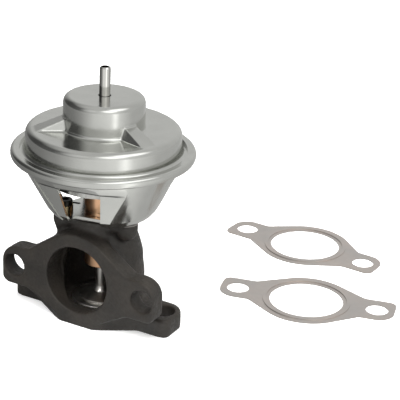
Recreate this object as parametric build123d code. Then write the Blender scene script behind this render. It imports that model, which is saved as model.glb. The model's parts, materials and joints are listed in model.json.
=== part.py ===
from build123d import *
import os
from math import acos, atan2, cos, hypot, radians, sin, tan

# Vacuum-operated exhaust gas recirculation valve, in millimetres.
# The origin is the centre of the base flange's lower face, on the stem axis.
# +Z runs up the stem and the inlet port faces -Y.

# Two-bolt flanges and their gaskets
bolt_spacing = 66.0
bolt_hole_d = 10.5
bolt_offset = 1.2           # from a port's centre to the line through its bolts
lug_half_width = 9.3
base_lug_reach = 7.4        # from a bolt's centre to the end of its lug
inlet_lug_reach = 6.4
gasket_lug_reach = 8.2
lug_wide_corner = 8.0
lug_tight_corner = 3.5
web_x = 26.0                # where a lug's straight side meets the tangent web
web_fillet = 2.5
port_r = 15.5
flange_break = 0.8

# Cast elbow body
base_flange_lip = 3.4       # the flange's round centre beyond the barrel
base_flange_t = 8.5
inlet_flange_r = 21.6
inlet_flange_t = 9.0
inlet_face_y = -21.1
inlet_z = 21.9
mouth_depth = 4.5           # machined mouth of the inlet port
passage_r = 15.0            # cast passage behind the mouth
barrel_r = 19.4
barrel_top_z = 18.0
crown_step = 2.0            # the crown's halfway point inside the barrel's radius
crown_z = 31.5
neck_step = 4.4             # the neck inside the barrel's radius
neck_z = 39.0
cast_wall = 2.9
outlet_depth = 2.0          # counterbore below the seat ring's ledge
ledge_t = 1.2
ledge_width = 2.0
deck_z = 48.0               # machined top face that carries the actuator
deck_t = 3.4
lobe_radius = 16.5          # from the stem axis to a lobe's centre
lobe_r = 5.2
boss_foot_r = 2.6
boss_h = 8.0
root_fillet = 1.5
root_ledge = 1.6            # flat round a flange's trunk that the root fillet stands on

# Legs, screws and gussets stand at the same angles from +X
leg_angles = (-19.0, 101.0, 221.0)
half_leg_pitch = 60.0

# Seat ring and poppet valve
seat_ring_r = 13.0
seat_bore_r = 8.0
seat_proud = 0.3
seat_run = 1.7              # radial and axial width of the 45 degree seat
seat_ring_break = 0.5
head_overhang = 1.4         # head's rim beyond the seat bore
head_rim_t = 1.0
head_cone_h = 2.0
head_neck_r = 3.6
stem_r = 2.5
stud_r = 2.0
stud_tip = 1.0              # stud left beyond the nut
valve_gap = 0.03

# Bronze guide
bush_r = 7.6
bush_bottom_z = 23.0
bush_rise = 3.6             # bush above the deck
guide_cap_r = 8.0
guide_cap_h = 8.4
guide_cap_wall = 1.3
stem_clearance = 0.04
seal_h = 6.0
part_break = 0.6

# Stamped lower housing
housing_sheet = 1.2
deck_gasket_t = 0.5
foot_r = 21.9               # outer radius at the foot of the cone
foot_bend = 2.4             # inside radii of the cone's bends
waist_bend = 3.0
throat_bend = 0.4
waist_share = 0.211         # share of the cone's width that is reached at its waist
waist_h = 3.8
throat_h = 20.85            # from the waist to the throat
collar_h = 1.05
window_h = 18.7             # from the foot plate's lower face to the window's top
window_top_half_w = 9.6
window_foot_half_w = 7.2
window_chord = 13.8         # straight edge of the foot plate inside a window
facet_tilt = 12.8           # how far a facet leans back from the window, in degrees
facet_foot_angle = 26.2     # a facet's hinge from the window's centre, at its foot
facet_top_angle = 38.0      # and at the window's top
facet_step = 0.3            # how far the hinge stands inside the cone's surface,
facet_end_step = 0.6        # and how much less where the recess runs out at the throat
facet_bend = 3.6            # outer radius of a facet's bend at the foot
facet_shift = (0.9, 0.55)   # inner face of the recess, inward and upward, in sheets
drain_length = 4.2
drain_width = 1.8
drain_radius = 12.4
drain_turn = -27.0

# Rolled rim that joins the two housings
rim_r = 40.2
rim_reach = 4.1             # from the cone's throat to the rim's edge
rim_lip = 3.8               # the lip's reach inward from the rim's edge
rim_corner = 1.6
clamp_t = 0.5               # diaphragm bead squeezed in the rim

# Stamped top cover
cover_sheet = 1.0
cover_wall_gap = 2.5        # from the rim's lip to the cover's wall
shoulder_z = 87.4
cap_r = 17.75
cap_top_z = 101.6
cover_fillet = 3.0
cap_foot_fillet = 1.4
cover_foot_fillet = 1.6
gusset_rise = 4.9
gusset_toe_gap = 3.75       # from the gusset's toe to the cover's wall
gusset_top_half_w = 3.1
gusset_foot_half_w = 4.8
gusset_toe_half_w = 3.6

# Vacuum nipple
nipple_r = 2.4
nipple_bore_r = 1.6
nipple_h = 12.7
nipple_seat_r = 2.8         # shank pressed into the cap's hole
nipple_collar_r = 3.8
nipple_collar_t = 0.9
nipple_tip = 0.5

# Diaphragm stack
plate_t = 1.2
lower_plate_gap = 12.1      # from the cone's throat to the lower plate's edge
upper_plate_step = 2.5      # the upper plate inside the lower plate's radius
skirt_h = 2.2
diaphragm_t = 0.8
diaphragm_flat_gap = 1.4    # flat rubber beyond the lower plate
diaphragm_free_gap = 2.1    # from the clamped rubber's inner edge to the cone's throat
soft_gap = 0.15
stack_z = 65.6              # underside of the lower plate with the valve shut
collar_r = 4.2
collar_t = 1.5
washer_r = 4.4
washer_t = 0.8
nut_flats = 7.0
nut_h = 3.4
stud_clearance = 0.05

# Return spring
spring_gap = 2.65           # between the coil and the cap's inside
spring_wire_r = 0.9
spring_turns = 5.5
spring_wire_sides = 8       # flats that stand for the round wire

# Housing screws
screw_r = 2.0
screw_depth = 6.0
screw_head_r = 3.2
screw_head_h = 2.4
screw_socket_flats = 3.0
screw_socket_depth = 1.4
spacer_r = 3.5
spacer_t = 2.2
hole_clearance = 0.25

# Flange gaskets, lying beside the valve as (x, y, turn, side of the bolts)
gasket_t = 0.6
gasket_r = 22.8
gasket_port_r = 17.2
gasket_bead_r = 19.6
gasket_bead_w = 1.6
gasket_bead_h = 0.3
gaskets_at = {
    "inlet_gasket": (76.0, 58.35, 193.5),
    "outlet_gasket": (49.9, 113.65, -3.6),
}

# Heights and radii that follow from the sizes above
floor_z = inlet_z - port_r
ledge_z = outlet_depth + ledge_t
seat_top_z = floor_z + seat_proud
bush_top_z = deck_z + bush_rise
foot_z = deck_z + deck_gasket_t
foot_top_z = foot_z + housing_sheet
window_top_z = foot_z + window_h
throat_r = rim_r - rim_reach
cone_w = throat_r - foot_r
waist = (foot_r + waist_share * cone_w, foot_z + waist_h)
throat = (throat_r, waist[1] + throat_h)
cone_slope = (throat[0] - waist[0]) / (throat[1] - waist[1])
rim_bottom_z = throat[1] + collar_h
clamp_z = rim_bottom_z + housing_sheet
cover_flange_z = clamp_z + clamp_t
lip_z = cover_flange_z + cover_sheet
rim_top_z = lip_z + housing_sheet
clamp_r = rim_r - housing_sheet
rim_lip_r = rim_r - rim_lip
cover_wall_r = rim_lip_r - cover_wall_gap
gusset_reach = cover_wall_r - gusset_toe_gap - cap_r
ceiling_z = cap_top_z - cover_sheet
collar_z = stack_z - collar_t
diaphragm_z = stack_z + plate_t + soft_gap
upper_plate_z = diaphragm_z + diaphragm_t + soft_gap
washer_z = upper_plate_z + plate_t
nut_z = washer_z + washer_t
spacer_z = foot_top_z
screw_head_z = spacer_z + spacer_t
plate_bore_r = stud_r + stud_clearance
lower_plate_r = throat_r - lower_plate_gap
upper_plate_r = lower_plate_r - upper_plate_step
diaphragm_flat_r = lower_plate_r + diaphragm_flat_gap
diaphragm_rise_r = throat_r - housing_sheet - diaphragm_free_gap
spring_r = cap_r - cover_sheet - spring_gap - spring_wire_r
base_flange_r = barrel_r + base_flange_lip
neck_r = barrel_r - neck_step
crown_r = barrel_r - crown_step


def polar(radius, angle):
    """Plan position at an angle in degrees from +X."""
    return (radius * cos(radians(angle)), radius * sin(radians(angle)))


def turned(*points):
    """Solid turned about the stem axis. Each point is radius, height and, if round, its corner."""
    section = make_face(Polyline(*[point[:2] for point in points], close=True))
    for radius, height, *corner in points:
        if corner:
            vertex = section.vertices().sort_by_distance((radius, height))[0]
            section = fillet(vertex, corner[0])
    return revolve(Plane.XZ * section, Axis.Z)


def rod(radius, z, height):
    """Upright cylinder on the stem axis, its lower face at height z."""
    return Pos(0, 0, z) * extrude(Circle(radius), height)


def tube(outer_r, inner_r, z, height):
    """Upright tube or washer on the stem axis, its lower face at height z."""
    return Pos(0, 0, z) * extrude(Circle(outer_r) - Circle(inner_r), height)


def tangent_point(radius, x, y):
    """Where the line from (x, y) touches a circle about the origin, away from the X axis."""
    turn = acos(radius / hypot(x, y))
    angle = atan2(y, x) + (turn if y > 0 else -turn)
    return (radius * cos(angle), radius * sin(angle))


def flange_outline(round_r, lug_reach):
    """Two-bolt oval: a round centre, tangent webs and squarish lugs set off towards -Y."""
    lugs = Pos(0, -bolt_offset) * Rectangle(bolt_spacing + 2 * lug_reach, 2 * lug_half_width)
    lugs = fillet(lugs.vertices().group_by(Axis.Y)[-1], lug_wide_corner)
    lugs = fillet(lugs.vertices().group_by(Axis.Y)[0], lug_tight_corner)
    top = (web_x, lug_half_width - bolt_offset)
    foot = (web_x, -lug_half_width - bolt_offset)
    right = [tangent_point(round_r, *foot), foot, top, tangent_point(round_r, *top)]
    left = [(-x, y) for x, y in reversed(right)]
    outline = Circle(round_r) + make_face(Polyline(*right, *left, close=True)) + lugs
    knees = [vertex for vertex in outline.vertices() if abs(abs(vertex.X) - web_x) < 0.01]
    return fillet(knees, web_fillet)


def bolt_holes():
    """Sketch of a flange's two bolt holes."""
    hole = Circle(bolt_hole_d / 2)
    return Pos(0, -bolt_offset) * (Sketch() + [at * hole for at in GridLocations(bolt_spacing, 0, 2, 1)])


def flange(round_r, lug_reach, thickness, trunk_r, trunk_h):
    """Flange plate with its mating face down, and the round trunk that rises from it."""
    plate = extrude(flange_outline(round_r, lug_reach), thickness)
    plate = chamfer(plate.faces().sort_by(Axis.Z)[-1].outer_wire().edges(), flange_break)
    return plate + turned(
        (0, 0),
        (trunk_r + root_ledge, 0),
        (trunk_r + root_ledge, thickness),
        (trunk_r, thickness, root_fillet),
        (trunk_r, trunk_h),
        (0, trunk_h),
    )


def deck_outline():
    """Rounded triangle with a lobe under each leg."""
    lobes = Sketch() + [Pos(*polar(lobe_radius, angle)) * Circle(lobe_r) for angle in leg_angles]
    return make_hull(lobes.edges())


def screw_places():
    """Locations of the housing screws, one on each lobe."""
    return [Pos(*polar(lobe_radius, angle)) for angle in leg_angles]


def crown(radius, top_r, inset):
    """Half section of the barrel under its domed crown, down to the base."""
    start = (radius, barrel_top_z)
    middle = (crown_r - inset, crown_z - inset / 2)
    end = (top_r, neck_z - inset)
    dome = Spline(start, middle, end, tangents=((0, 1), (-1, 1)))
    sides = Polyline(end, (0, end[1]), (0, floor_z), (radius, floor_z), start)
    return revolve(Plane.XZ * make_face(Wire([dome, *sides.edges()])), Axis.Z)


def cast_body():
    """Iron elbow: inlet at the front, outlet below, guide neck and screw deck on top."""
    front = Plane(origin=(0, inlet_face_y, inlet_z), x_dir=(-1, 0, 0), z_dir=(0, 1, 0))
    body = crown(barrel_r, neck_r, 0)
    body += flange(base_flange_r, base_lug_reach, base_flange_t, barrel_r, barrel_top_z)
    body += front * flange(inlet_flange_r, inlet_lug_reach, inlet_flange_t, port_r + cast_wall,
                           -inlet_face_y)
    body -= Pos(0, inlet_face_y, 0) * Box(bolt_spacing * 2, bolt_spacing, bolt_spacing,
                                          align=(Align.CENTER, Align.MAX, Align.CENTER))
    body += tube(neck_r, bush_r, neck_z - cast_wall, deck_z - neck_z + cast_wall)
    body += Pos(0, 0, deck_z - deck_t) * extrude(deck_outline(), deck_t)
    for place in screw_places():
        boss_z = deck_z - deck_t - boss_h / 2
        body += place * Pos(0, 0, boss_z) * Cone(boss_foot_r, lobe_r, boss_h)

    body -= crown(barrel_r - cast_wall, neck_r - cast_wall, cast_wall)
    body -= front * extrude(Circle(passage_r), -inlet_face_y)
    body -= front * extrude(Circle(port_r), mouth_depth)
    body -= rod(seat_ring_r, ledge_z, floor_z) + rod(seat_ring_r - ledge_width, 0, floor_z)
    body -= rod(port_r, 0, outlet_depth)
    body -= rod(bush_r, floor_z, deck_z)
    body -= extrude(bolt_holes(), base_flange_t)
    body -= front * extrude(bolt_holes(), inlet_flange_t)
    for place in screw_places():
        body -= place * rod(screw_r + stud_clearance, deck_z - screw_depth, screw_depth)
    return body


def seat_ring():
    """Steel ring pressed onto the ledge, with a 45 degree seat."""
    return turned(
        (seat_bore_r, ledge_z),
        (seat_ring_r, ledge_z),
        (seat_ring_r, seat_top_z, seat_ring_break),
        (seat_bore_r + seat_run, seat_top_z),
        (seat_bore_r, seat_top_z - seat_run),
    )


def poppet_valve():
    """Conical head, guided stem and the threaded stud that holds the diaphragm stack."""
    rim_r = seat_bore_r + head_overhang
    contact_z = seat_top_z - seat_run + head_overhang + valve_gap * 2 ** 0.5
    return turned(
        (0, contact_z - seat_run),
        (rim_r - seat_run, contact_z - seat_run),
        (rim_r, contact_z),
        (rim_r, contact_z + head_rim_t),
        (head_neck_r, contact_z + head_rim_t + head_cone_h),
        (stem_r, contact_z + head_rim_t + head_cone_h + 2 * (head_neck_r - stem_r)),
        (stem_r, collar_z),
        (stud_r, collar_z),
        (stud_r, nut_z + nut_h + stud_tip),
        (0, nut_z + nut_h + stud_tip),
    )


def guide_bush():
    """Bronze bush pressed through the neck; its lower end stands in the gas passage."""
    bore_r = stem_r + stem_clearance
    return turned(
        (bore_r, bush_bottom_z),
        (bush_r - part_break, bush_bottom_z),
        (bush_r, bush_bottom_z + part_break),
        (bush_r, bush_top_z - part_break / 2),
        (bush_r - part_break / 2, bush_top_z),
        (bore_r, bush_top_z),
    )


def guide_cap():
    """Bronze cup that holds the stem seal on top of the bush."""
    top_z = bush_top_z + guide_cap_h
    return turned(
        (guide_cap_r - guide_cap_wall, bush_top_z),
        (guide_cap_r, bush_top_z),
        (guide_cap_r, top_z, part_break),
        (stem_r + hole_clearance, top_z),
        (stem_r + hole_clearance, top_z - guide_cap_wall),
        (guide_cap_r - guide_cap_wall, top_z - guide_cap_wall),
    )


def deck_gasket():
    """Thin joint between the casting and the housing's foot plate."""
    sheet = Pos(0, 0, deck_z) * extrude(deck_outline(), deck_gasket_t)
    for place in screw_places():
        sheet -= place * rod(screw_r + hole_clearance, deck_z, deck_gasket_t)
    return sheet - rod(bush_r + hole_clearance, deck_z, deck_gasket_t)


def window_half_w(z):
    """Half width of a window, which widens upward."""
    rise = (z - foot_z) / window_h
    return window_foot_half_w + rise * (window_top_half_w - window_foot_half_w)


def window_tool():
    """Space inside a window, in the window's own frame. X points out of the window."""
    sections = []
    for z in (foot_z, window_top_z):
        opening = Rectangle(rim_r, 2 * window_half_w(z), align=(Align.MIN, Align.CENTER))
        sections.append(Pos(window_chord, 0, z) * opening)
    return loft(sections, ruled=True)


def recess_tool(thickness):
    """Space outside a window's recessed sheet, in the window's own frame, or with the sheet's
    thickness the space outside its inner face. A facet on each side leans in from its hinge
    and bends in at the foot; above the window the sheet slopes out to the throat. X points
    out of the window."""
    lean = tan(radians(facet_tilt))
    shift_in, shift_up = facet_shift
    corner = facet_bend * (1 - sin(radians(45)))
    sections = []
    for z, inward in (
        (foot_z, facet_bend),
        (foot_z + corner, corner),
        (foot_z + facet_bend, 0),
        (window_top_z, 0),
        (throat[1], -facet_end_step),
    ):
        share = (z - foot_z) / (window_top_z - foot_z)
        angle = facet_foot_angle + min(share, 1) * (facet_top_angle - facet_foot_angle)
        hinge_x, hinge_y = polar(waist[0] + (z - waist[1]) * cone_slope, angle)
        hinge_x -= facet_step + inward
        free_y = window_half_w(min(z, window_top_z))
        free_x = throat_r if z > window_top_z else hinge_x + (hinge_y - free_y) * lean
        right = [(free_x, free_y), (hinge_x, hinge_y + thickness), (rim_r, hinge_y + thickness)]
        left = [(x, -y) for x, y in reversed(right)]
        outline = make_face(Polyline(*right, *left, close=True))
        sections.append(Pos(-shift_in * thickness, 0, z + shift_up * thickness) * outline)
    return loft(sections, ruled=True)


def bowl_section():
    """Half section of the housing's outside, from the foot plate up to the rim."""
    return (
        (0, foot_z),
        (foot_r, foot_z, foot_bend + housing_sheet),
        (*waist, waist_bend + housing_sheet),
        (*throat, throat_bend + housing_sheet),
        (throat[0], clamp_z),
        (0, clamp_z),
    )


def inset(points, thickness):
    """Closed turned section moved inward by the sheet's thickness along its outer side."""
    moved = [(0, points[0][1] + thickness)]
    for before, here, after in zip(points, points[1:], points[2:-1]):
        first = atan2(here[1] - before[1], here[0] - before[0])
        second = atan2(after[1] - here[1], after[0] - here[0])
        middle = (first + second) / 2
        reach = thickness / cos((second - first) / 2)
        corner = [radius + (thickness if second < first else -thickness) for radius in here[2:]]
        moved.append((here[0] - reach * sin(middle), here[1] + reach * cos(middle), *corner))
    return (*moved, (points[-2][0] - thickness, points[-2][1]), points[-1])


def lower_housing():
    """Stamped cone with three windows, turned-in facets beside them and the rolled rim."""
    outside = turned(*bowl_section())
    bowl = outside - turned(*inset(bowl_section(), housing_sheet))
    for angle in leg_angles:
        turn = Rot(0, 0, angle + half_leg_pitch)
        recess = turn * recess_tool(0)
        pocket = turn * recess_tool(housing_sheet)
        bowl = bowl - recess + ((pocket - recess) & outside)
        bowl -= turn * window_tool()
        drain = Pos(0, 0, foot_z) * extrude(SlotOverall(drain_length, drain_width), housing_sheet)
        bowl -= Rot(0, 0, angle + drain_turn) * Pos(drain_radius, 0, 0) * drain
    for place in screw_places():
        bowl -= place * rod(screw_r + hole_clearance, foot_z, housing_sheet)
    bowl -= rod(bush_r + hole_clearance, foot_z, housing_sheet)
    rim = turned(
        (throat[0] - housing_sheet, rim_bottom_z),
        (rim_r, rim_bottom_z, rim_corner),
        (rim_r, rim_top_z, rim_corner),
        (rim_lip_r, rim_top_z),
        (rim_lip_r, lip_z),
        (clamp_r, lip_z),
        (clamp_r, clamp_z),
        (throat[0] - housing_sheet, clamp_z),
    )
    return bowl + rim


def gusset_tool(thickness):
    """Ramp from the cap's wall down to the shoulder, or the hollow under it. X points outward."""
    start_x = cap_r - cover_sheet / 2 - thickness
    toe_x = cap_r + gusset_reach - 2 * thickness
    foot = shoulder_z - cover_sheet / 2 - thickness
    sections = []
    for x, top, foot_half_w, top_half_w in (
        (start_x, shoulder_z + gusset_rise - thickness, gusset_foot_half_w, gusset_top_half_w),
        (toe_x, shoulder_z - thickness / 2, gusset_toe_half_w, gusset_toe_half_w),
    ):
        low = foot_half_w - thickness
        high = top_half_w - thickness
        corners = [(x, -low, foot), (x, low, foot), (x, high, top), (x, -high, top)]
        sections.append(make_face(Polyline(*corners, close=True)))
    return loft(sections, ruled=True)


def top_cover():
    """Two-step stamped cover with a stiffening gusset above each leg."""
    wall_r = cover_wall_r
    outside = turned(
        (0, cap_top_z),
        (cap_r, cap_top_z, cover_fillet),
        (cap_r, shoulder_z, cap_foot_fillet),
        (wall_r, shoulder_z, cover_fillet),
        (wall_r, lip_z, cover_foot_fillet),
        (clamp_r, lip_z),
        (clamp_r, cover_flange_z),
        (0, cover_flange_z),
    )
    sheet = cover_sheet
    inside = turned(
        (0, ceiling_z),
        (cap_r - sheet, ceiling_z, cover_fillet - sheet),
        (cap_r - sheet, shoulder_z - sheet, cap_foot_fillet + sheet),
        (wall_r - sheet, shoulder_z - sheet, cover_fillet - sheet),
        (wall_r - sheet, cover_flange_z),
        (0, cover_flange_z),
    )
    cover = outside - inside
    for angle in leg_angles:
        turn = Rot(0, 0, angle)
        cover = cover + turn * gusset_tool(0) - turn * gusset_tool(sheet)
    return cover - rod(nipple_seat_r, ceiling_z, cover_sheet)


def vacuum_nipple():
    """Steel hose nipple with a collar under the cap."""
    top_z = cap_top_z + nipple_h
    return turned(
        (nipple_bore_r, ceiling_z - nipple_collar_t),
        (nipple_collar_r, ceiling_z - nipple_collar_t),
        (nipple_collar_r, ceiling_z),
        (nipple_seat_r, ceiling_z),
        (nipple_seat_r, cap_top_z),
        (nipple_r, cap_top_z),
        (nipple_r, top_z - nipple_tip),
        (nipple_r - nipple_tip, top_z),
        (nipple_bore_r, top_z),
    )


def diaphragm():
    """Rubber disc, flat between the plates and clamped in the rim."""
    return turned(
        (stud_r + hole_clearance, diaphragm_z),
        (diaphragm_flat_r, diaphragm_z),
        (diaphragm_rise_r, clamp_z),
        (clamp_r, clamp_z),
        (clamp_r, cover_flange_z),
        (diaphragm_rise_r - diaphragm_t, cover_flange_z),
        (diaphragm_flat_r - diaphragm_t / 2, diaphragm_z + diaphragm_t),
        (stud_r + hole_clearance, diaphragm_z + diaphragm_t),
    )


def plate(radius, z, skirt_side):
    """Diaphragm plate with a turned edge, up or down."""
    skirt_z = z + plate_t + skirt_h if skirt_side > 0 else z - skirt_h
    flat_z = z + plate_t if skirt_side > 0 else z
    far_z = z if skirt_side > 0 else z + plate_t
    return turned(
        (plate_bore_r, far_z),
        (radius, far_z, part_break),
        (radius, skirt_z),
        (radius - plate_t, skirt_z),
        (radius - plate_t, flat_z),
        (plate_bore_r, flat_z),
    )


def stud_nut():
    """Hexagon nut on the stud."""
    outline = RegularPolygon(nut_flats / 2, 6, major_radius=False) - Circle(plate_bore_r)
    return Pos(0, 0, nut_z) * extrude(outline, nut_h)


def return_spring():
    """Open coil between the upper plate and the cap."""
    low_z = washer_z + soft_gap + spring_wire_r
    height = ceiling_z - soft_gap - spring_wire_r - low_z
    path = Pos(0, 0, low_z) * Helix(height / spring_turns, height, spring_r)
    wire = RegularPolygon(spring_wire_r, spring_wire_sides, major_radius=False)
    return sweep(Plane(origin=path @ 0, z_dir=path % 0) * wire, path, is_frenet=True)


def housing_screw():
    """Socket-head screw in its own place on the Z axis."""
    head = rod(screw_head_r, screw_head_z, screw_head_h)
    head = chamfer(head.edges().sort_by(Axis.Z)[-1], part_break / 2)
    socket = extrude(RegularPolygon(screw_socket_flats / 2, 6, major_radius=False), screw_socket_depth)
    head -= Pos(0, 0, screw_head_z + screw_head_h - screw_socket_depth) * socket
    shank_z = deck_z - screw_depth
    return head + rod(screw_r, shank_z, screw_head_z - shank_z)


def flange_gasket():
    """Flat steel gasket with a pressed bead round its port, lying on its face."""
    outline = flange_outline(gasket_r, gasket_lug_reach) - Circle(gasket_port_r) - bolt_holes()
    sheet = extrude(outline, gasket_t)
    return sheet + tube(gasket_bead_r + gasket_bead_w / 2, gasket_bead_r - gasket_bead_w / 2,
                        gasket_t, gasket_bead_h)


parts = {
    "cast_body": cast_body(),
    "seat_ring": seat_ring(),
    "guide_bush": guide_bush(),
    "guide_cap": guide_cap(),
    "stem_seal": tube(guide_cap_r - guide_cap_wall, stem_r + stem_clearance, bush_top_z, seal_h),
    "deck_gasket": deck_gasket(),
    "lower_housing": lower_housing(),
    "top_cover": top_cover(),
    "vacuum_nipple": vacuum_nipple(),
    "diaphragm": diaphragm(),
    "return_spring": return_spring(),
    "poppet_valve": poppet_valve(),
    "stem_collar": tube(collar_r, plate_bore_r, collar_z, collar_t),
    "lower_plate": plate(lower_plate_r, stack_z, -1),
    "upper_plate": plate(upper_plate_r, upper_plate_z, 1),
    "stud_washer": tube(washer_r, plate_bore_r, washer_z, washer_t),
    "stud_nut": stud_nut(),
}
for number, place in enumerate(screw_places(), start=1):
    parts[f"housing_screw_{number}"] = place * housing_screw()
    parts[f"screw_spacer_{number}"] = place * tube(spacer_r, screw_r + hole_clearance, spacer_z, spacer_t)
for name, (x, y, turn) in gaskets_at.items():
    parts[name] = Pos(x, y, 0) * Rot(0, 0, turn) * flange_gasket()

os.makedirs("parts", exist_ok=True)
for name, shape in parts.items():
    export_step(shape, f"parts/{name}.step")
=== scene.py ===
import json

import bmesh
import bpy
import numpy as np
from bpy.props import FloatProperty, FloatVectorProperty, IntProperty, PointerProperty
from mathutils import Matrix, Vector


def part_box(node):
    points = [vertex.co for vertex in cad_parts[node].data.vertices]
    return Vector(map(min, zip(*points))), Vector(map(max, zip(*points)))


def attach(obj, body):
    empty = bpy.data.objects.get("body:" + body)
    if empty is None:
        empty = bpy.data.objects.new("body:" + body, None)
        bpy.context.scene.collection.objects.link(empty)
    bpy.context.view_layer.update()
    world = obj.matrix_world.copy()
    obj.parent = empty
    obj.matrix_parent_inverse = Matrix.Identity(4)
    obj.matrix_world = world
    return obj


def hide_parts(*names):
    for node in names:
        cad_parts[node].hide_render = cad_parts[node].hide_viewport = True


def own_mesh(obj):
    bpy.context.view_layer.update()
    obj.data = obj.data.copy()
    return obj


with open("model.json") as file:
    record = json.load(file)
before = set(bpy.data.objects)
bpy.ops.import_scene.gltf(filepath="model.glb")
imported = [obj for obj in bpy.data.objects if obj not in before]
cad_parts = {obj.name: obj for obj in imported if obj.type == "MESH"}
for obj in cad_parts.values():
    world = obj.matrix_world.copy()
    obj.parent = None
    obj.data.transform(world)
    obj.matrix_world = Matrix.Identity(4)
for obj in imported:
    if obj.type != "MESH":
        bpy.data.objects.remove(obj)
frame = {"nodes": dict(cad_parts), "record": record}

bl_info = {
    "name": "Exhaust Gas Recirculation Valve",
    "version": (1, 0, 0),
    "blender": (4, 5, 0),
    "location": "3D View > Sidebar > Valve",
    "description": "Dresses a vacuum-operated exhaust gas recirculation valve and its two gaskets",
    "category": "Object",
}

MM = 0.001

# Places on the solids that the dressed surfaces and the finishes follow
LEG_ANGLES = np.radians([-19.0, 101.0, 221.0])      # of the housing's legs, from +X
SCREW_CIRCLE = 16.5 * MM        # from the stem to a housing screw
WINDOW_TOP = 67.2 * MM          # height of the upper edge of the housing's windows
INLET_HEIGHT = 21.9 * MM        # height of the inlet's axis
MOUTH_RADIUS = 15.5 * MM        # of the inlet's machined mouth
PASSAGE_RADIUS = 15.0 * MM      # of the cast passage behind the mouth
INLET_FACE = -21.1 * MM         # the inlet flange's face, along Y
FLANGE_BACK = -12.1 * MM        # the back of that flange, along Y
PASSAGE_END = -9.0 * MM         # how far back the inlet's bore is laid straight, along Y
BOLT_SIDE = 33.0 * MM           # from a flange's middle out to a bolt hole
BOLT_DROP = 1.2 * MM            # how far the bolt holes lie off a port's middle
DECK_TOP = 48.0 * MM            # height of the screw deck's upper face


def top(node):
    """Height of a node's highest point, in metres."""
    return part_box(node)[1].z


def foot(node):
    """Height of a node's lowest point, in metres."""
    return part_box(node)[0].z


def reach(node):
    """Radius of a turned node about the stem, in metres."""
    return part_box(node)[1].x


# ---------------------------------------------------------------- user settings

class ValveSizes(bpy.types.PropertyGroup):
    """Sizes of the dressed surfaces."""

    sheet: FloatProperty(
        name="Cover sheet", description="Thickness of the top cover's sheet",
        default=1.0 * MM, unit="LENGTH")
    cap_radius: FloatProperty(
        name="Cap radius", description="Outer radius of the cover's cap",
        default=17.75 * MM, unit="LENGTH")
    wall_radius: FloatProperty(
        name="Wall radius", description="Outer radius of the cover's wall",
        default=33.9 * MM, unit="LENGTH")
    shoulder_height: FloatProperty(
        name="Shoulder height", description="Height of the cover's shoulder above the base",
        default=87.4 * MM, unit="LENGTH")
    cover_bend: FloatProperty(
        name="Cover bend", description="Outer radius of the cover's rounded edges",
        default=3.0 * MM, unit="LENGTH")
    gusset_rise: FloatProperty(
        name="Gusset rise", description="Height of a gusset where it meets the cap",
        default=4.9 * MM, unit="LENGTH")
    gusset_reach: FloatProperty(
        name="Gusset reach", description="Length of a gusset along the shoulder",
        default=12.4 * MM, unit="LENGTH")
    gusset_softness: FloatProperty(
        name="Gusset softness", description="How far a gusset's pressed edges are rounded",
        default=0.45 * MM, unit="LENGTH")
    cast_grain: FloatProperty(
        name="Casting grain", description="Voxel that rounds the casting's edges",
        default=0.5 * MM, unit="LENGTH")
    cast_fill: IntProperty(
        name="Casting fill", description="Smoothing steps that fill the casting's inner corners",
        default=45, min=0)
    rubber: FloatProperty(
        name="Diaphragm", description="Thickness of the diaphragm's rubber",
        default=0.8 * MM, unit="LENGTH")
    spring_wire: FloatProperty(
        name="Spring wire", description="Radius of the return spring's wire",
        default=0.9 * MM, unit="LENGTH")
    spring_turns: FloatProperty(
        name="Spring turns", description="Number of turns of the return spring",
        default=5.5, min=1)


class ValveColours(bpy.types.PropertyGroup):
    """Colours of the finishes."""

    zinc: FloatVectorProperty(
        name="Zinc plate", description="Colour of the plated stampings",
        default=(0.62, 0.625, 0.60), size=3, subtype="COLOR", min=0, max=1)
    nipple: FloatVectorProperty(
        name="Nipple steel", description="Colour of the polished nipple",
        default=(0.66, 0.65, 0.62), size=3, subtype="COLOR", min=0, max=1)
    bronze: FloatVectorProperty(
        name="Bronze", description="Colour of the guide bush and its cap",
        default=(0.66, 0.40, 0.24), size=3, subtype="COLOR", min=0, max=1)
    iron: FloatVectorProperty(
        name="Cast iron", description="Colour of the cast body",
        default=(0.020, 0.018, 0.0157), size=3, subtype="COLOR", min=0, max=1)
    gasket: FloatVectorProperty(
        name="Gasket steel", description="Colour of the flat gaskets",
        default=(0.68, 0.645, 0.62), size=3, subtype="COLOR", min=0, max=1)
    valve: FloatVectorProperty(
        name="Valve steel", description="Colour of the poppet valve and the seat",
        default=(0.58, 0.56, 0.53), size=3, subtype="COLOR", min=0, max=1)
    olive: FloatVectorProperty(
        name="Olive chromate", description="Colour of the screws' spacers",
        default=(0.42, 0.34, 0.20), size=3, subtype="COLOR", min=0, max=1)


class StageSettings(bpy.types.PropertyGroup):
    """Camera and light."""

    place: FloatVectorProperty(
        name="Camera place", description="Where the camera stands",
        default=(0.29854, -0.47868, 0.29481), size=3, subtype="TRANSLATION")
    azimuth: FloatProperty(
        name="Azimuth", description="Turn of the camera about the stem",
        default=np.radians(27.6065), subtype="ANGLE")
    pitch: FloatProperty(
        name="Pitch", description="How far the camera looks down",
        default=np.radians(23.069), subtype="ANGLE")
    roll: FloatProperty(
        name="Roll", description="Turn of the camera about its own line of sight",
        default=np.radians(2.814), subtype="ANGLE")
    lens: FloatProperty(
        name="Lens", description="Focal length for a 36 mm sensor, in millimetres",
        default=125.324)
    key_power: FloatProperty(
        name="Key light", description="Power of the large soft light, in watts",
        default=9.0, min=0)
    sky: FloatProperty(
        name="Sky", description="Brightness of the surroundings",
        default=0.75, min=0)


# ---------------------------------------------------------------- surfaces

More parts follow.
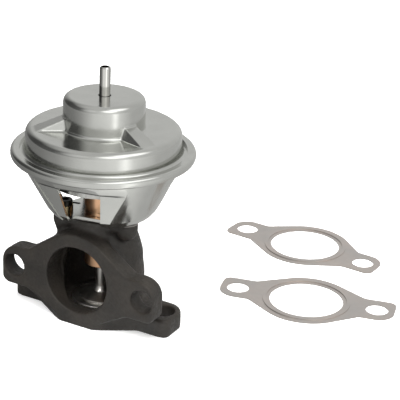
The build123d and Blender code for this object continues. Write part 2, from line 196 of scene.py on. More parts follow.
def rounded(*corners, steps=8):
    """Open profile of (radius, height) points. A corner with a third number is replaced by the
    arc of that radius that touches both of its sides, in equal steps of angle."""
    points = np.array([corner[:2] for corner in corners], float)
    line = [points[:1]]
    for number in range(1, len(corners) - 1):
        here = points[number]
        if len(corners[number]) < 3:
            line.append(here[None])
            continue
        back = points[number - 1] - here
        ahead = points[number + 1] - here
        back /= np.linalg.norm(back)
        ahead /= np.linalg.norm(ahead)
        half = np.arccos(np.clip(back @ ahead, -1, 1)) / 2
        radius = corners[number][2]
        middle = here + (back + ahead) / np.linalg.norm(back + ahead) * radius / np.sin(half)
        spokes = [here + side * radius / np.tan(half) - middle for side in (back, ahead)]
        turn = np.pi - 2 * half
        share = np.linspace(0, 1, steps + 1)[:, None]
        line.append(middle + (np.sin((1 - share) * turn) * spokes[0]
                              + np.sin(share * turn) * spokes[1]) / np.sin(turn))
    line.append(points[-1:])
    return np.vstack(line)


def evenly(line, step):
    """The same line with its long runs divided, so that no two points are further apart than
    the step."""
    pieces = [line[:1]]
    for start, end in zip(line[:-1], line[1:]):
        parts = max(1, int(np.ceil(np.linalg.norm(end - start) / step)))
        share = np.linspace(0, 1, parts + 1)[1:, None]
        pieces.append(start + (end - start) * share)
    return np.vstack(pieces)


def add_piece(name, grid, body, replaced=(), close_rows=False):
    """Mesh of quads through a grid of points, wrapped round its columns, and round its rows too
    if it is a closed tube. Points that fall together, at seams and poles, become one."""
    rows, columns = grid.shape[:2]
    index = np.arange(rows * columns).reshape(rows, columns)
    across = np.concatenate([index, index[:, :1]], axis=1)
    if close_rows:
        across = np.concatenate([across, across[:1]], axis=0)
    quads = np.stack([across[:-1, :-1], across[:-1, 1:], across[1:, 1:], across[1:, :-1]], -1)
    mesh = bpy.data.meshes.new(name)
    mesh.from_pydata(grid.reshape(-1, 3), [], quads.reshape(-1, 4))
    return finish_piece(name, mesh, body, replaced)


def finish_piece(name, mesh, body, replaced=(), merge=0.0001 * MM):
    """Merges doubles, turns the faces outwards, shades them smooth and hangs the piece on its
    body, in place of the CAD nodes named."""
    work = bmesh.new()
    work.from_mesh(mesh)
    bmesh.ops.remove_doubles(work, verts=work.verts, dist=merge)
    bmesh.ops.recalc_face_normals(work, faces=work.faces)
    work.to_mesh(mesh)
    work.free()
    mesh.shade_smooth()
    piece = bpy.data.objects.new(name, mesh)
    bpy.context.scene.collection.objects.link(piece)
    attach(piece, body)
    if replaced:
        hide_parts(*replaced)
    return piece


def turned(profile, columns):
    """Surface of revolution about the stem: every point of the profile sweeps a circle."""
    angle = np.linspace(0, 2 * np.pi, columns, endpoint=False)
    radius, height = profile[:, :1], profile[:, 1:]
    return np.stack([radius * np.cos(angle), radius * np.sin(angle),
                     np.broadcast_to(height, (len(profile), columns))], -1)


def soft_min(first, second, width):
    """The smaller of two fields, rounded where they cross, over about the width."""
    share = np.clip(0.5 + 0.5 * (second - first) / width, 0, 1)
    return second + (first - second) * share - width * share * (1 - share)


def soft_max(first, second, width):
    """The larger of two fields, rounded where they cross, over about the width."""
    return -soft_min(-first, -second, width)


# ---------------------------------------------------------------- materials

# Where the housing's sheet leans out over a window or a facet: how far its normal points down
# there, the heights between which it does, and the band at its lower edge where a dark line of
# painted shade is put into the zinc's colour
ROOF_LEAN = (-0.64, -0.52)
ROOF_TOP = (73.2 * MM, 73.4 * MM)
ROOF_FOOT = (60 * MM, 62 * MM)
# heights of the dark line of painted shade under the slope over the windows
CREASE_PAINTED_SHADE = (WINDOW_TOP + 0.5 * MM, WINDOW_TOP + 1.5 * MM)


def new_finish(slot):
    """Empty principled material for one slot of the record."""
    material = bpy.data.materials.new(slot + "_finish")
    material.use_nodes = True
    return material, material.node_tree, material.node_tree.nodes["Principled BSDF"]


def feed(tree, socket, value):
    """Links a node's output to a socket, or sets a plain value on it."""
    if isinstance(value, bpy.types.NodeSocket):
        tree.links.new(value, socket)
    else:
        socket.default_value = value


def object_place(tree):
    """Place on the piece in its own coordinates."""
    return tree.nodes.new("ShaderNodeTexCoord").outputs["Object"]


def parted(tree, vector):
    """The three parts of a vector, by name."""
    node = tree.nodes.new("ShaderNodeSeparateXYZ")
    tree.links.new(vector, node.inputs["Vector"])
    return node.outputs


def arithmetic(tree, operation, first, second):
    """Two values put through one operation of arithmetic."""
    node = tree.nodes.new("ShaderNodeMath")
    node.operation = operation
    tree.links.new(first, node.inputs[0])
    tree.links.new(second, node.inputs[1])
    return node.outputs["Value"]


def mixed(tree, share, first, second, blend="MIX"):
    """Colour between the first and the second, or both put together by another blend."""
    node = tree.nodes.new("ShaderNodeMix")
    node.data_type = "RGBA"
    node.blend_type = blend
    for socket, value in (("Factor", share), ("A", first), ("B", second)):
        feed(tree, node.inputs[socket], value)
    return node.outputs["Result"]


def noise(tree, scale, detail, stretch=(1, 1, 1)):
    """Noise on Object coordinates, finer along the axes with a larger stretch."""
    mapping = tree.nodes.new("ShaderNodeMapping")
    mapping.inputs["Scale"].default_value = stretch
    texture = tree.nodes.new("ShaderNodeTexNoise")
    texture.inputs["Scale"].default_value = scale
    texture.inputs["Detail"].default_value = detail
    tree.links.new(object_place(tree), mapping.inputs["Vector"])
    tree.links.new(mapping.outputs["Vector"], texture.inputs["Vector"])
    return texture.outputs["Fac"]


def spread(tree, value, low, high, low_in=0.3, high_in=0.7):
    """The value carried from its own range to another."""
    node = tree.nodes.new("ShaderNodeMapRange")
    node.inputs["From Min"].default_value = low_in
    node.inputs["From Max"].default_value = high_in
    node.inputs["To Min"].default_value = low
    node.inputs["To Max"].default_value = high
    tree.links.new(value, node.inputs["Value"])
    return node.outputs["Result"]


def blotched(tree, value, first, second):
    """Colour that runs from the first to the second with the value."""
    ramp = tree.nodes.new("ShaderNodeValToRGB")
    ramp.color_ramp.elements[0].position = 0.3
    ramp.color_ramp.elements[1].position = 0.7
    ramp.color_ramp.elements[0].color = (*first, 1)
    ramp.color_ramp.elements[1].color = (*second, 1)
    tree.links.new(value, ramp.inputs["Fac"])
    return ramp.outputs["Color"]


def bumped(tree, shader, height, distance, strength=1.0, under=None):
    """Bump of a given depth in metres, on top of another bump if there is one."""
    bump = tree.nodes.new("ShaderNodeBump")
    bump.inputs["Distance"].default_value = distance
    bump.inputs["Strength"].default_value = strength
    tree.links.new(height, bump.inputs["Height"])
    if under is not None:
        tree.links.new(under, bump.inputs["Normal"])
    tree.links.new(bump.outputs["Normal"], shader.inputs["Normal"])
    return bump.outputs["Normal"]


def tinted(colour, *factors):
    """A colour made lighter or darker, by one factor or by one for each channel."""
    return tuple(min(1.0, value) for value in np.multiply(tuple(colour), factors).tolist())


def over_windows(tree, normal):
    """One where the lower housing's sheet slopes out over its windows, and the share of painted
    shade, a dark line put into the colour along the lowest edge of that slope."""
    height = parted(tree, object_place(tree))["Z"]
    slope = arithmetic(tree, "MULTIPLY", spread(tree, parted(tree, normal)["Z"], 1, 0, *ROOF_LEAN),
                       spread(tree, height, 1, 0, *ROOF_TOP))
    slope = arithmetic(tree, "MULTIPLY", slope, spread(tree, height, 0, 1, *ROOF_FOOT))
    # painted shade: the lowest band of the slope, which the zinc finish darkens in colour
    shade = arithmetic(tree, "MULTIPLY", slope, spread(tree, height, 1, 0, *CREASE_PAINTED_SHADE))
    return slope, shade


def lifted(tree, normal, share):
    """The normal, less steep by the share, so that a slope over a window mirrors the floor as
    the cone beside it does."""
    scale = tree.nodes.new("ShaderNodeCombineXYZ")
    scale.inputs["X"].default_value = 1
    scale.inputs["Y"].default_value = 1
    tree.links.new(spread(tree, share, 1, 0.5, 0, 1), scale.inputs["Z"])
    flatter = tree.nodes.new("ShaderNodeVectorMath")
    flatter.operation = "MULTIPLY"
    tree.links.new(normal, flatter.inputs[0])
    tree.links.new(scale.outputs["Vector"], flatter.inputs[1])
    unit = tree.nodes.new("ShaderNodeVectorMath")
    unit.operation = "NORMALIZE"
    tree.links.new(flatter.outputs["Vector"], unit.inputs[0])
    return unit.outputs["Vector"]


def zinc_finish(slot, colour, smoothest, roughest):
    """Bright zinc plate on pressed sheet: cloudy gloss, a fine grain and slow waves, with a dark
    line of painted shade along the crease over the housing's windows and facets.
    """
    material, tree, shader = new_finish(slot)
    shader.inputs["Metallic"].default_value = 1.0
    plate = blotched(tree, noise(tree, 90, 4), tinted(colour, 0.95), tinted(colour, 1.04))
    normal = tree.nodes.new("ShaderNodeNewGeometry").outputs["Normal"]
    slope, shade = over_windows(tree, normal)
    # painted shade: along the crease over the windows and facets the zinc's colour is darkened to
    # 0.12 of itself, where the sheet above would cast a shadow
    plate_with_painted_shade = mixed(tree, shade, plate, (*tinted(colour, 0.12), 1))
    tree.links.new(plate_with_painted_shade, shader.inputs["Base Color"])
    tree.links.new(spread(tree, noise(tree, 260, 3), smoothest, roughest),
                   shader.inputs["Roughness"])
    grain = bumped(tree, shader, noise(tree, 2600, 2), 0.004 * MM, 1.0,
                   lifted(tree, normal, slope))
    bumped(tree, shader, noise(tree, 120, 1), 0.05 * MM, 0.6, grain)
    return material


def turned_finish(slot, colour, roughness):
    """Metal cut on a lathe: fine rings about the stem and a little wear in the gloss."""
    material, tree, shader = new_finish(slot)
    shader.inputs["Metallic"].default_value = 1.0
    clouds = noise(tree, 180, 3)
    tree.links.new(blotched(tree, clouds, tinted(colour, 0.86), tinted(colour, 1.06)),
                   shader.inputs["Base Color"])
    tree.links.new(spread(tree, clouds, roughness * 0.8, roughness * 1.3),
                   shader.inputs["Roughness"])
    rings = noise(tree, 2200, 1, (0.02, 0.02, 1))
    bumped(tree, shader, rings, 0.01 * MM, 0.5)
    return material


def drawn_finish(slot, colour, roughness):
    """Polished tube with stripes along it, from near black to bright: drawing marks, and painted
    reflections of the surroundings.
    """
    material, tree, shader = new_finish(slot)
    shader.inputs["Metallic"].default_value = 1.0
    drawn_and_painted_reflection_stripes = noise(tree, 480, 1, (1, 1, 0.01))
    # painted reflection: the colour runs from 0.15 to 1.35 of the steel's along the tube, standing
    # in for the light and dark stripes the surroundings reflect on it, as well as the drawing
    # marks
    tree.links.new(blotched(tree, drawn_and_painted_reflection_stripes, tinted(colour, 0.15), tinted(colour, 1.35)),
                   shader.inputs["Base Color"])
    tree.links.new(spread(tree, drawn_and_painted_reflection_stripes, roughness * 1.3, roughness * 0.8),
                   shader.inputs["Roughness"])
    bumped(tree, shader, drawn_and_painted_reflection_stripes, 0.02 * MM, 0.5)
    return material


def iron_finish(slot, colour):
    """Sand-cast iron under a thin dark coat: pitted, grainy and faintly brown in patches."""
    material, tree, shader = new_finish(slot)
    shader.inputs["Metallic"].default_value = 0.0
    shader.inputs["Specular IOR Level"].default_value = 0.4
    tree.links.new(blotched(tree, noise(tree, 110, 5), tinted(colour, 0.8),
                            tinted(colour, 1.3, 1.22, 1.15)), shader.inputs["Base Color"])
    tree.links.new(spread(tree, noise(tree, 700, 4), 0.42, 0.66), shader.inputs["Roughness"])
    pits = bumped(tree, shader, noise(tree, 900, 5), 0.16 * MM, 0.8)
    bumped(tree, shader, noise(tree, 210, 2), 0.22 * MM, 0.5, pits)
    return material


def plain_finish(slot, colour, metallic, roughness):
    """Fine-grained finish for small and hidden pieces."""
    material, tree, shader = new_finish(slot)
    shader.inputs["Metallic"].default_value = metallic
    clouds = noise(tree, 250, 3)
    tree.links.new(blotched(tree, clouds, tinted(colour, 0.82), tinted(colour, 1.12)),
                   shader.inputs["Base Color"])
    tree.links.new(spread(tree, clouds, roughness * 0.85, roughness * 1.15),
                   shader.inputs["Roughness"])
    bumped(tree, shader, noise(tree, 1500, 2), 0.02 * MM, 0.5)
    return material


def gasket_finish(slot, colour):
    """Rolled gasket steel: soft gloss, faint brown tints and rolling lines."""
    material, tree, shader = new_finish(slot)
    shader.inputs["Metallic"].default_value = 1.0
    tree.links.new(blotched(tree, noise(tree, 55, 3), tinted(colour, 0.93),
                            tinted(colour, 1.05, 1.0, 0.97)), shader.inputs["Base Color"])
    tree.links.new(spread(tree, noise(tree, 300, 4), 0.34, 0.46), shader.inputs["Roughness"])
    rolling_lines = noise(tree, 1500, 2, (1, 0.05, 1))
    bumped(tree, shader, rolling_lines, 0.01 * MM, 0.6)
    return material


BLACK = (0.02, 0.02, 0.02)          # rubber and carbon
FIBRE = (0.16, 0.15, 0.14)
SPRING_STEEL = (0.35, 0.35, 0.36)
PLATE_STEEL = (0.5, 0.5, 0.48)
BLACK_OXIDE = (0.035, 0.033, 0.03)
FINISHES = {}


def finishes():
    """Every slot's material, made once from the colours in the panel. A row gives the slot, its
    kind of finish, the colour and what else that finish asks for, in its own order."""
    if FINISHES:
        return FINISHES
    colours = bpy.context.scene.valve_colours
    for slot, finish, *look in (
            ("cast_iron", iron_finish, colours.iron),
            ("seat_steel", turned_finish, colours.valve, 0.36),
            ("bronze", turned_finish, colours.bronze, 0.34),
            ("seal_carbon", plain_finish, BLACK, 0.0, 0.6),
            ("joint_fibre", plain_finish, FIBRE, 0.0, 0.8),
            ("zinc_steel", zinc_finish, colours.zinc, 0.13, 0.2),
            ("nipple_steel", drawn_finish, colours.nipple, 0.12),
            ("diaphragm_rubber", plain_finish, BLACK, 0.0, 0.55),
            ("spring_steel", plain_finish, SPRING_STEEL, 1.0, 0.3),
            ("valve_steel", turned_finish, colours.valve, 0.36),
            ("plate_steel", plain_finish, PLATE_STEEL, 1.0, 0.3),
            ("screw_steel", plain_finish, BLACK_OXIDE, 1.0, 0.35),
            ("spacer_brass", plain_finish, colours.olive, 1.0, 0.28),
            ("gasket_steel", gasket_finish, colours.gasket)):
        FINISHES[slot] = finish(slot, *look)
    return FINISHES


def dress(piece, slot):
    """Gives a piece the finish of its slot."""
    piece.data.materials.clear()
    piece.data.materials.append(finishes()[slot])
    return piece


# ---------------------------------------------------------------- pieces

class VALVE_OT_nodes(bpy.types.Operator):
    """Give every CAD node the finish of its own slot"""

    bl_idname = "valve.nodes"
    bl_label = "Finish the machined parts"

    def execute(self, context):
        slots = {part["node"]: part["material_slot"] for part in frame["record"]["subparts"]}
        for name, node in frame["nodes"].items():
            dress(node, slots[name])
        return {"FINISHED"}


def gusset_rise(profile, grid, sizes, inset):
    """How far each point of the cover stands out over the gussets. From a point inside the
    cap's foot a ray runs through the cover's surface. The wedge of a gusset is bounded by its
    ramp and its two flanks, and the ray leaves it at the nearest of these planes, with the
    corners between planes, and between gusset and cover, rounded."""
    depth = 4 * MM                          # of the rays' point inside the cap's foot
    half_width, narrowing = 4.8 * MM, 1.2 * MM      # of a gusset at the cap and along its ramp
    lean = 1.7 * MM                         # of a flank over the gusset's rise
    sector, fade = 0.7, 0.1                 # radians either side of a leg that a gusset may take
    cap, shoulder = sizes.cap_radius, sizes.shoulder_height
    rise, length = sizes.gusset_rise, sizes.gusset_reach
    ray = profile - np.array([cap - depth, shoulder - depth])
    ray /= np.linalg.norm(ray, axis=1)[:, None]
    angle = np.arctan2(grid[..., 1], grid[..., 0])
    radius = np.broadcast_to(profile[:, :1], angle.shape)
    height = np.broadcast_to(profile[:, 1:], angle.shape)
    climb = np.broadcast_to(ray[:, 1:], angle.shape)
    ramp = np.array([rise, 0, length]) / np.hypot(rise, length)
    flank = np.cross(np.array([length, -narrowing, 0]), np.array([0, -lean, rise]))
    flank /= np.linalg.norm(flank)
    flank *= np.sign(flank[1])
    flank_foot = np.array([cap, half_width, shoulder])
    crest = np.array([cap, 0, shoulder + rise])
    on_shoulder = radius < cap + length + 2 * MM
    out = np.zeros_like(angle)
    for leg in LEG_ANGLES:
        away = (angle - leg + np.pi) % (2 * np.pi) - np.pi
        side = np.abs(np.sin(away))
        point = np.stack([radius * np.cos(away), radius * side, height], -1)
        course = np.stack([ray[:, :1] * np.cos(away), ray[:, :1] * side, climb], -1)
        to_ramp = -((point - crest) @ ramp + inset) / np.maximum(course @ ramp, 0.05)
        to_flank = -((point - flank_foot) @ flank + inset) / np.maximum(course @ flank, 0.05)
        leave = soft_min(to_ramp, to_flank, 1.6 * sizes.gusset_softness)
        stand = soft_max(leave, np.zeros_like(leave), 2.0 * sizes.gusset_softness)
        near = np.clip((sector - np.abs(away)) / fade, 0, 1) * on_shoulder
        out = np.maximum(out, stand * near)
    return out[..., None] * np.stack([ray[:, :1] * np.cos(angle), ray[:, :1] * np.sin(angle),
                                      climb], -1)


class VALVE_OT_cover(bpy.types.Operator):
    """Top cover: a turned sheet in two steps, with a pressed gusset over each leg"""

    bl_idname = "valve.cover"
    bl_label = "Top cover"

    def execute(self, context):
        sizes = context.scene.valve_sizes
        columns = 432
        outer_step, inner_step = 0.45 * MM, 1.0 * MM        # along the two skins' profiles
        crease = 1.4 * MM                   # bend at the cap's foot
        hem, inner_hem = 1.6 * MM, 0.6 * MM         # bends at the wall's foot, outside and in
        low, high = foot("top_cover"), top("top_cover")
        cap, wall, shoulder = sizes.cap_radius, sizes.wall_radius, sizes.shoulder_height
        sheet, bend = sizes.sheet, sizes.cover_bend
        edge = reach("top_cover")
        hole = reach("vacuum_nipple") - 1.4 * MM
        outside = rounded(
            (hole, high), (cap, high, bend), (cap, shoulder, crease), (wall, shoulder, bend),
            (wall, low + sheet, hem), (edge, low + sheet))
        inside = rounded(
            (edge, low), (wall - sheet, low, inner_hem),
            (wall - sheet, shoulder - sheet, bend - sheet),
            (cap - sheet, shoulder - sheet, crease + sheet),
            (cap - sheet, high - sheet, bend - sheet), (hole, high - sheet))
        skins = []
        for line, inset in ((evenly(outside, outer_step), 0), (evenly(inside, inner_step), sheet)):
            grid = turned(line, columns)
            skins.append(grid + gusset_rise(line, grid, sizes, inset))
        piece = add_piece("cover_shell", np.concatenate(skins), "valve_body",
                          ["top_cover"], close_rows=True)
        dress(piece, "zinc_steel")
        return {"FINISHED"}


class VALVE_OT_casting(bpy.types.Operator):
    """Cast elbow: the CAD body with its edges rounded and its inner corners filled"""

    bl_idname = "valve.casting"
    bl_label = "Cast body"

    def execute(self, context):
        sizes = context.scene.valve_sizes
        mesh = frame["nodes"]["cast_body"].data.copy()
        piece = finish_piece("cast_elbow", mesh, "valve_body", ["cast_body"],
                             merge=0.001 * MM)
        regrain(piece, sizes.cast_grain)
        full_crown(piece.data)
        regrain(piece, sizes.cast_grain)
        relax(piece.data, 8)
        relax(piece.data, sizes.cast_fill, fill_only=True)
        piece.data.shade_smooth()
        dress(piece, "cast_iron")
        return {"FINISHED"}


def regrain(piece, grain):
    """Gives a piece a new mesh of even quads."""
    remesh = piece.modifiers.new("grain", "REMESH")
    remesh.mode = "VOXEL"
    remesh.voxel_size = grain
    depsgraph = bpy.context.evaluated_depsgraph_get()
    ready = bpy.data.meshes.new_from_object(piece.evaluated_get(depsgraph))
    piece.modifiers.clear()
    piece.data = ready


def vectors(mesh, name):
    """One vector for each vertex, such as its place or its normal."""
    values = np.empty(len(mesh.vertices) * 3)
    mesh.vertices.foreach_get(name, values)
    return values.reshape(-1, 3)


# Radius of the crown and the neck by height, and of a screw boss under the deck, in millimetres
CROWN_HEIGHTS = (26, 29, 31.5, 34.2, 39, 41, 42.5, 43.6, 44.8)
CROWN_RADII = (18.7, 18.5, 18.0, 17.2, 15.6, 14.6, 14.0, 15.0, 21.7)
BOSS_HEIGHTS = (39.2, 40.5, 42.0, 44.8)
BOSS_RADII = (0.8, 3.2, 4.4, 5.2)


def full_crown(mesh):
    """Gives the casting a full crown and a slim neck, and lets each screw boss under the deck
    end in a short taper. A boss draws in towards its screw. Elsewhere, points near the outside
    and beyond it move onto one line of radius against height, away from the inlet's trunk."""
    trunk_radius, boss_reach, skin = 20.5 * MM, 6.2 * MM, 1.6 * MM
    points = vectors(mesh, "co")
    x, y, z = points.T
    across = np.maximum(np.hypot(x, y), MM)
    line = MM * np.interp(z / MM, CROWN_HEIGHTS, CROWN_RADII)
    trunk = (y < -2 * MM) & (np.hypot(x, z - INLET_HEIGHT) < trunk_radius)
    under = (z > CROWN_HEIGHTS[0] * MM) & (z < CROWN_HEIGHTS[-1] * MM)
    under &= (y > FLANGE_BACK + 0.6 * MM) & ~trunk
    screws = SCREW_CIRCLE * np.stack([np.cos(LEG_ANGLES), np.sin(LEG_ANGLES)], 1)
    from_screws = np.linalg.norm(points[:, None, :2] - screws, axis=2)
    screw = screws[from_screws.argmin(axis=1)]
    off = np.maximum(from_screws.min(axis=1), 0.1 * MM)
    boss = MM * np.interp(z / MM, BOSS_HEIGHTS, BOSS_RADII)
    in_boss = under & (off < boss_reach) & (z > BOSS_HEIGHTS[0] * MM)
    outer = under & ~in_boss & (across > line - skin)
    drawn_in = screw + (points[:, :2] - screw) * np.minimum(1, boss / off)[:, None]
    on_line = points[:, :2] * (line / across)[:, None]
    points[:, :2] = np.where(in_boss[:, None], drawn_in,
                             np.where(outer[:, None], on_line, points[:, :2]))
    mesh.vertices.foreach_set("co", points.ravel())


def relax(mesh, steps, fill_only=False):
    """Moves every point towards the mean of its neighbours. When filling, it only lets a point
    rise along its normal, outside the gas passage and the bolt holes, so that inner corners of
    the outside fill up and the rest stays."""
    points = vectors(mesh, "co")
    normals = vectors(mesh, "normal")
    edges = np.empty(len(mesh.edges) * 2, int)
    mesh.edges.foreach_get("vertices", edges)
    first, second = edges.reshape(-1, 2).T
    count = np.bincount(edges, minlength=len(points))[:, None]
    free = outside_of_ways(points)
    for _ in range(steps):
        mean = np.stack([
            np.bincount(first, points[second, axis], len(points))
            + np.bincount(second, points[first, axis], len(points)) for axis in range(3)], -1)
        move = 0.5 * (mean / count - points)
        if fill_only:
            lift = np.clip(np.sum(move * normals, axis=1), 0, None) * free
            move = lift[:, None] * normals
        points = points + move
    points = bore_straight(points)
    mesh.vertices.foreach_set("co", points.ravel())
    mesh.update()


def bore_straight(points):
    """Lays the points of the inlet's mouth and the passage behind it on one straight bore."""
    port = np.hypot(points[:, 0], points[:, 2] - INLET_HEIGHT)
    wall = np.abs(port - (MOUTH_RADIUS + PASSAGE_RADIUS) / 2) < 0.6 * MM
    wall &= (points[:, 1] < PASSAGE_END) & (points[:, 1] > INLET_FACE + 0.5 * MM)
    grown = np.where(wall, MOUTH_RADIUS / port, 1.0)
    points[:, 0] *= grown
    points[:, 2] = INLET_HEIGHT + (points[:, 2] - INLET_HEIGHT) * grown
    return points


def outside_of_ways(points):
    """One outside the gas passage, the bolt holes and the machined faces, nought in them, and
    a share of one on the neck under the deck."""
    x, y, z = points.T
    bolt_clear, neck_share = 6.0 * MM, 0.3
    bolt_height = INLET_HEIGHT - BOLT_DROP
    beside = np.abs(x) - BOLT_SIDE
    passage = (np.hypot(x, y) < 16.9 * MM) & (z < 36.5 * MM)
    mouth = (np.hypot(x, z - INLET_HEIGHT) < MOUTH_RADIUS + 0.7 * MM) & (y < 0)
    bolts = np.hypot(beside, y + BOLT_DROP) < bolt_clear
    inlet_bolts = np.hypot(beside, z - bolt_height) < bolt_clear
    inlet_bolts &= y < FLANGE_BACK + 1.1 * MM
    faces = (z < 0.8 * MM) | (y < INLET_FACE + 0.7 * MM) | (z > DECK_TOP - 0.8 * MM)
    neck = (z > 38 * MM) & (y > FLANGE_BACK + 1.1 * MM)
    free = ~(passage | mouth | bolts | inlet_bolts | faces)
    return free * np.where(neck, neck_share, 1.0)


class VALVE_OT_diaphragm(bpy.types.Operator):
    """Rubber diaphragm: a turned sheet with a roll between its plate and its clamped edge"""

    bl_idname = "valve.diaphragm"
    bl_label = "Diaphragm"

    def execute(self, context):
        rubber = context.scene.valve_sizes.rubber
        columns, step = 128, 1 * MM         # round the stem, and along the profile
        hole, plate_edge, roll_top = 2.25 * MM, 25.4 * MM, 32.8 * MM
        roll_bend, clamp_bend = 2 * MM, 1.2 * MM
        flat, high, edge = foot("diaphragm"), top("diaphragm"), reach("diaphragm")
        clamp = high - 0.5 * MM
        under = rounded((hole, flat), (plate_edge, flat, roll_bend),
                        (roll_top, clamp, clamp_bend), (edge, clamp))
        over = rounded((edge, high), (roll_top - rubber, high, clamp_bend),
                       (plate_edge - rubber / 2, flat + rubber, roll_bend),
                       (hole, flat + rubber))
        loop = np.vstack([evenly(under, step), evenly(over, step)])
        piece = add_piece("rubber_diaphragm", turned(loop, columns), "valve_body",
                          ["diaphragm"], close_rows=True)
        dress(piece, "diaphragm_rubber")
        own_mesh(piece)
        return {"FINISHED"}


class VALVE_OT_spring(bpy.types.Operator):
    """Return spring: a round wire carried up a helix, with its ends closed to a point"""

    bl_idname = "valve.spring"
    bl_label = "Return spring"

    def execute(self, context):
        sizes = context.scene.valve_sizes
        wire = sizes.spring_wire
        rings, sides = 400, 16              # round the helix and round the wire
        low, high = foot("return_spring"), top("return_spring")
        coil = reach("return_spring") - wire - 0.1 * MM
        turn = np.linspace(0, 2 * np.pi * sizes.spring_turns, rings)[:, None]
        round_wire = np.linspace(0, 2 * np.pi, sides, endpoint=False)
        radius = coil + wire * np.cos(round_wire)
        seat = 1.2 * wire
        climb = (high - low - 2 * seat) * turn / turn[-1] + low + seat
        grid = np.stack([radius * np.cos(turn), radius * np.sin(turn),
                         climb + wire * np.sin(round_wire)], -1)
        start, end = (np.broadcast_to(ring.mean(axis=1, keepdims=True), (1, sides, 3))
                      for ring in (grid[:1], grid[-1:]))
        piece = add_piece("coil_spring", np.concatenate([start, grid, end]), "valve_body",
                          ["return_spring"])
        dress(piece, "spring_steel")
        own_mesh(piece)
        return {"FINISHED"}


# ---------------------------------------------------------------- stage

MIDDLE = (0.02, 0.02, 0.05)         # of the valve and its gaskets
FLOOR_SIDE = 6.0
WHITE = (1, 1, 1, 1)
PAPER = (0.86, 0.86, 0.85, 1)
PAPER_GLOW = (0.45, 0.45, 0.45, 1)
CEILING = (0.62, 0.62, 0.61, 1)
# Upward part of a direction over which the floor gives way to the walls, and they to the ceiling
WALL_FOOT = (-0.02, 0.12)
WALL_TOP = (0.62, 0.9)
# Soft lights: name, place, size in metres, and power as a share of the key light's
AREA_LIGHTS = (
    ("key", (0.15, -0.35, 0.75), 0.5, 1.0),
    ("rim", (0.55, 0.35, 0.45), 0.35, 0.35),
    ("side", (-0.6, -0.1, 0.25), 0.3, 0.12),
)
# Narrow lights through an opening: name, place, aim, width in degrees, and the same share
SPOTS = (
    ("port_spot", (0.10, -0.36, 0.17), (0.001, -0.0115, 0.004), 2.0, 0.5),
    ("window_spot", (0, -0.40, 0.085), (-0.002, -0.0076, 0.057), 3.0, 0.5),
)
SPOT_BULB = 0.012
SPOT_FADE = 0.3
# How bright the room looks to metal, by direction in degrees from +X. The camera is at -58.
FLOOR_LIGHT = (
    (-180, 0.20), (-150, 0.24), (-122, 0.38), (-106, 0.54), (-84, 0.80), (-60, 0.86),
    (-40, 0.98), (-28, 1.60), (-17, 0.90), (22, 0.56), (72, 0.52), (102, 0.58), (130, 0.36),
    (150, 0.22), (180, 0.20))
SIDE_LIGHT = (
    (-180, 0.06), (-135, 0.12), (-100, 0.52), (-58, 0.88), (-28, 0.95), (0, 0.66), (60, 0.60),
    (100, 0.66), (125, 0.64), (142, 0.40), (162, 0.08), (180, 0.06))
# Soft boxes that only bright metal sees: direction, level, and the cosines of its rim and core
SOFT_BOXES = (
    ((0.54, -0.46, 0.71), 1.0, 0.93, 0.98),
    ((0.53, 0.03, 0.85), 1.2, 0.92, 0.985),
    ((-0.20, -0.80, 0.56), 0.22, 0.93, 0.98),
)


def round_the_room(tree, direction, stops):
    """Grey level that depends on the direction round the stem."""
    parts = parted(tree, direction)
    turn = arithmetic(tree, "ARCTAN2", parts["Y"], parts["X"])
    ramp = tree.nodes.new("ShaderNodeValToRGB")
    elements = ramp.color_ramp.elements
    for number, (degrees, level) in enumerate(stops):
        position = (degrees + 180) / 360
        element = elements[number] if number < 2 else elements.new(position)
        element.position = position
        element.color = (level, level, level * 0.985, 1)
    tree.links.new(spread(tree, turn, 0, 1, -np.pi, np.pi), ramp.inputs["Fac"])
    return ramp.outputs["Color"]


def soft_box(tree, direction, room, towards, level, rim, core):
    """The room with a round soft box added to it."""
    facing = tree.nodes.new("ShaderNodeVectorMath")
    facing.operation = "DOT_PRODUCT"
    facing.inputs[1].default_value = Vector(towards).normalized()
    tree.links.new(direction, facing.inputs[0])
    glow = spread(tree, facing.outputs["Value"], 0, level, rim, core)
    return mixed(tree, 1.0, room, glow, "ADD")


def floor_finish():
    """Pale paper. Seen straight on it glows up to white and keeps the shadows. To bright metal
    it shows the room's own light and shade."""
    material, tree, shader = new_finish("floor")
    shader.inputs["Roughness"].default_value = 0.9
    rays = tree.nodes.new("ShaderNodeLightPath").outputs
    mirrored = rays["Is Glossy Ray"]
    around = round_the_room(tree, object_place(tree), FLOOR_LIGHT)
    tree.links.new(mixed(tree, mirrored, PAPER, (0, 0, 0, 1)), shader.inputs["Base Color"])
    tree.links.new(mixed(tree, mirrored, PAPER_GLOW, around), shader.inputs["Emission Color"])
    tree.links.new(arithmetic(tree, "MAXIMUM", rays["Is Camera Ray"], mirrored),
                   shader.inputs["Emission Strength"])
    return material


def surroundings(scene, sky):
    """White to the eye and plain to rough surfaces. Bright metal sees a room with a dark left
    side, a bright strip right of the camera and a pale ceiling."""
    scene.world = bpy.data.worlds.new("room")
    scene.world.use_nodes = True
    tree = scene.world.node_tree
    direction = tree.nodes.new("ShaderNodeTexCoord").outputs["Generated"]
    upward = parted(tree, direction)["Z"]
    room = mixed(tree, spread(tree, upward, 0, 1, *WALL_FOOT),
                 round_the_room(tree, direction, FLOOR_LIGHT),
                 round_the_room(tree, direction, SIDE_LIGHT))
    room = mixed(tree, spread(tree, upward, 0, 1, *WALL_TOP), room, CEILING)
    for box in SOFT_BOXES:
        room = soft_box(tree, direction, room, *box)
    rays = tree.nodes.new("ShaderNodeLightPath").outputs
    lit = mixed(tree, rays["Is Glossy Ray"], (sky, sky, sky, 1), room)
    seen = mixed(tree, rays["Is Camera Ray"], lit, WHITE)
    tree.links.new(seen, tree.nodes["Background"].inputs["Color"])


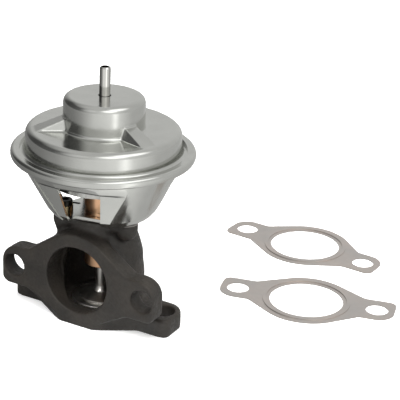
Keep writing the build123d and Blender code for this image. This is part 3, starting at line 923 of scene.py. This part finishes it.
def add_light(kind, name, place, aim, power):
    """Light that looks at a point."""
    data = bpy.data.lights.new(name, kind)
    data.energy = power
    light = bpy.data.objects.new(name, data)
    bpy.context.scene.collection.objects.link(light)
    light.location = place
    light.rotation_mode = "QUATERNION"
    light.rotation_quaternion = (Vector(aim) - Vector(place)).to_track_quat("-Z", "Y")
    return light


class VALVE_OT_stage(bpy.types.Operator):
    """Pale floor, soft lights and the camera"""

    bl_idname = "valve.stage"
    bl_label = "Stage"

    def execute(self, context):
        scene = context.scene
        stage = scene.valve_stage
        scene.view_settings.view_transform = "Standard"

        data = bpy.data.cameras.new("camera")
        data.lens = stage.lens
        data.sensor_width = 36
        data.clip_start = 0.01
        camera = bpy.data.objects.new("camera", data)
        scene.collection.objects.link(camera)
        look = Matrix.Rotation(stage.azimuth, 4, "Z") @ Matrix.Rotation(
            np.pi / 2 - stage.pitch, 4, "X") @ Matrix.Rotation(stage.roll, 4, "Z")
        camera.matrix_world = Matrix.Translation(stage.place) @ look
        scene.camera = camera

        for name, place, aim, degrees, share in SPOTS:
            spot = add_light("SPOT", name, place, aim, stage.key_power * share)
            spot.data.shadow_soft_size = SPOT_BULB
            spot.data.spot_size = np.radians(degrees)
            spot.data.spot_blend = SPOT_FADE
        for name, place, size, share in AREA_LIGHTS:
            light = add_light("AREA", name, place, MIDDLE, stage.key_power * share)
            light.data.size = size
            light.visible_glossy = False        # bright metal mirrors only the room

        half = FLOOR_SIDE / 2
        mesh = bpy.data.meshes.new("floor")
        mesh.from_pydata([(-half, -half, 0), (half, -half, 0), (half, half, 0), (-half, half, 0)],
                         [], [(0, 1, 2, 3)])
        floor = bpy.data.objects.new("floor", mesh)
        scene.collection.objects.link(floor)
        floor.data.materials.append(floor_finish())
        surroundings(scene, stage.sky)
        return {"FINISHED"}


# ---------------------------------------------------------------- panel

OPERATORS = (
    VALVE_OT_nodes,
    VALVE_OT_cover,
    VALVE_OT_casting,
    VALVE_OT_diaphragm,
    VALVE_OT_spring,
    VALVE_OT_stage,
)
SETTINGS = {
    "valve_sizes": ValveSizes,
    "valve_colours": ValveColours,
    "valve_stage": StageSettings,
}


class VALVE_PT_panel(bpy.types.Panel):
    """Lists the sizes, the colours and the steps"""

    bl_idname = "VALVE_PT_panel"
    bl_label = "EGR valve"
    bl_space_type = "VIEW_3D"
    bl_region_type = "UI"
    bl_category = "Valve"

    def draw(self, context):
        for name, group in SETTINGS.items():
            box = self.layout.box()
            for setting in group.__annotations__:
                box.prop(getattr(context.scene, name), setting)
        for operator in OPERATORS:
            self.layout.operator(operator.bl_idname)


def register():
    """Adds the settings, the steps and the panel."""
    for cls in (*SETTINGS.values(), *OPERATORS, VALVE_PT_panel):
        bpy.utils.register_class(cls)
    for name, group in SETTINGS.items():
        setattr(bpy.types.Scene, name, PointerProperty(type=group))


def unregister():
    """Takes them away again."""
    for name in SETTINGS:
        delattr(bpy.types.Scene, name)
    for cls in (VALVE_PT_panel, *OPERATORS, *SETTINGS.values()):
        bpy.utils.unregister_class(cls)


def main():
    """Registers the settings, the steps and the panel, and runs every step, which builds the
    dressed valve.
    """
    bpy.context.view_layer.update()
    register()
    for operator in OPERATORS:
        group, name = operator.bl_idname.split(".")
        getattr(getattr(bpy.ops, group), name)()


if __name__ == "__main__":
    main()
